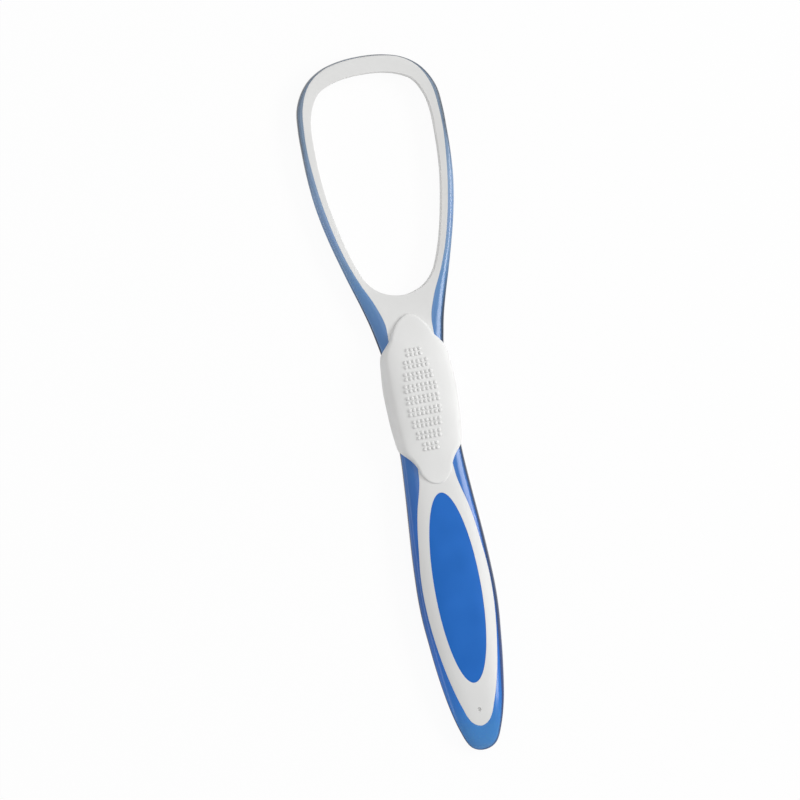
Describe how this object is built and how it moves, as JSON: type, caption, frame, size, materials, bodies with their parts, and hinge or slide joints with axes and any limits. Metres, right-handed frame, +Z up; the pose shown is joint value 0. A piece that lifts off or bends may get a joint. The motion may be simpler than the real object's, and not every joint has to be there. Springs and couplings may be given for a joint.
{
  "type": "tongue scraper",
  "caption": "Hand-held tongue scraper: a long oval handle, a dotted thumb sleeve at the waist and a wide open scraping loop with a soft rim.",
  "frame": {"origin": "under the middle of the whole part, on the surface that it lies on, back down", "axes": "+Y along the length toward the tip of the loop, +X to the right seen from the front, +Z up out of the front face"},
  "size_m": [0.0392, 0.185, 0.0095],
  "materials": {
    "white_core": "satin moulded polypropylene",
    "blue_rim": "smooth soft thermoplastic elastomer, slightly clear",
    "blue_shell": "smooth soft thermoplastic elastomer, slightly clear",
    "blue_oval": "matt soft thermoplastic elastomer",
    "white_sleeve": "matt soft thermoplastic elastomer"
  },
  "bodies": {
    "root": {"scraper_frame": "white_core", "loop_rim": "blue_rim", "handle_shell": "blue_shell", "oval_grip": "blue_oval", "thumb_sleeve": "white_sleeve"}
  },
  "joints": []
}
